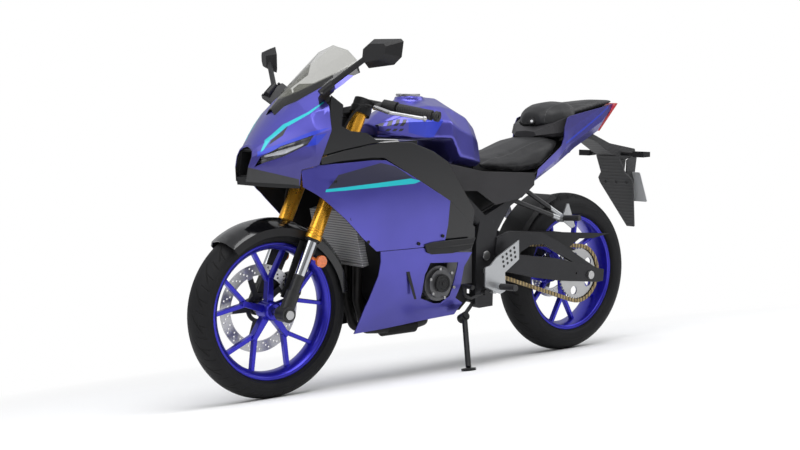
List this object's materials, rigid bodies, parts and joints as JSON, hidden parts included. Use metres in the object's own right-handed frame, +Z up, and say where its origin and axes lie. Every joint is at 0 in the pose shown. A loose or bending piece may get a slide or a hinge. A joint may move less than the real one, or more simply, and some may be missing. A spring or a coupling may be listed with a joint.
{
  "type": "sport motorcycle",
  "caption": "Small fully faired sport motorcycle leaning on its side stand, with turning wheels, steering, folding stand and opening fuel cap.",
  "frame": {"origin": "on the floor, bottom centre of the parked machine's bounding box", "axes": "+X towards the front wheel, +Y to the rider's left, +Z up; the machine leans 10 degrees to +Y"},
  "size_m": [2.0833, 0.8068, 1.2239],
  "materials": {
    "tyre": "matt moulded rubber",
    "wheel_blue": "gloss blue paint",
    "disc_steel": "ground steel",
    "fork_gold": "gold anodised",
    "fork_chrome": "polished chrome",
    "bolt_steel": "satin",
    "cast_black": "satin black paint",
    "grip_rubber": "matt",
    "lever_alloy": "satin",
    "black_plastic": "matt textured",
    "gloss_black": "gloss",
    "amber_lens": "clear amber",
    "frame_grey": "satin dark grey",
    "frame_black": "satin black",
    "engine_grey": "cast, painted",
    "radiator_alloy": "finned",
    "exhaust_black": "matt heat-resistant",
    "chain_steel": "oiled",
    "body_blue": "metallic blue",
    "tank_blue": "metallic blue",
    "screen_clear": "lightly smoked",
    "lamp_lens": "clear",
    "seat_vinyl": "grained vinyl",
    "cover_grey": "matt",
    "red_lens": "clear red",
    "hose_rubber": "satin",
    "plate_white": "satin"
  },
  "bodies": {
    "machine": {"rear_axles": "bolt_steel", "rear_caliper": "cast_black", "main_frame": "frame_grey", "rear_frame": "frame_black", "engine": "engine_grey", "engine_covers": "engine_grey", "radiator": "radiator_alloy", "exhaust_pipes": "exhaust_black", "muffler": "exhaust_black", "swingarm": "frame_grey", "chain": "chain_steel", "chain_guard": "black_plastic", "rear_shock": "frame_black", "side_fairings": "body_blue", "belly_pans": "body_blue", "fairing_trim": "gloss_black", "nose_cowl": "body_blue", "nose_duct": "black_plastic", "windscreen": "screen_clear", "headlamps": "lamp_lens", "instrument_panel": "black_plastic", "mirrors": "black_plastic", "fuel_tank": "tank_blue", "tank_panels": "body_blue", "rider_seat": "seat_vinyl", "passenger_seat": "seat_vinyl", "side_covers": "cover_grey", "tail_cowl": "body_blue", "tail_tray": "cover_grey", "tail_lamp": "red_lens", "plate_holder": "black_plastic", "number_plate": "plate_white", "indicators": "black_plastic", "footrests": "lever_alloy", "foot_levers": "frame_black"},
    "steering": {"fork_tubes": "fork_gold", "fork_sliders": "fork_chrome", "front_axle": "bolt_steel", "fork_clamps": "cast_black", "handlebars": "cast_black", "grips": "grip_rubber", "hand_levers": "lever_alloy", "switchgear": "black_plastic", "front_mudguard": "gloss_black", "front_caliper": "cast_black", "fork_reflectors": "amber_lens", "brake_hose": "hose_rubber", "clutch_cable": "hose_rubber"},
    "front_wheel": {"front_tyre": "tyre", "front_rim": "wheel_blue", "front_disc": "disc_steel"},
    "rear_wheel": {"rear_tyre": "tyre", "rear_rim": "wheel_blue", "rear_disc": "disc_steel", "rear_sprocket": "disc_steel"},
    "side_stand": {"side_stand": "frame_black"},
    "fuel_cap": {"fuel_cap": "lever_alloy"}
  },
  "joints": [
    {"name": "steering_turn", "type": "hinge", "parent": "machine", "child": "steering", "pos_m": [0.71447, -0.13673, 0.27299], "axis": [-0.4225, 0.1574, 0.8926], "range_deg": [-34, 34]},
    {"name": "front_wheel_spin", "type": "hinge", "parent": "steering", "child": "front_wheel", "pos_m": [0.74867, -0.13396, 0.28869], "axis": [0, 0.9848, -0.1736], "continuous": true},
    {"name": "rear_wheel_spin", "type": "hinge", "parent": "machine", "child": "rear_wheel", "pos_m": [-0.63133, -0.13031, 0.3096], "axis": [0, 0.9848, -0.1736], "continuous": true},
    {"name": "side_stand_fold", "type": "hinge", "parent": "machine", "child": "side_stand", "pos_m": [0.01865, 0.00039, 0.18693], "axis": [0.1323, 0.9407, 0.3124], "range_deg": [0, 108.8]},
    {"name": "fuel_cap_lid", "type": "hinge", "parent": "machine", "child": "fuel_cap", "pos_m": [0.20078, -0.0098, 0.99292], "axis": [0, 0.9848, -0.1736], "range_deg": [0, 90]}
  ]
}
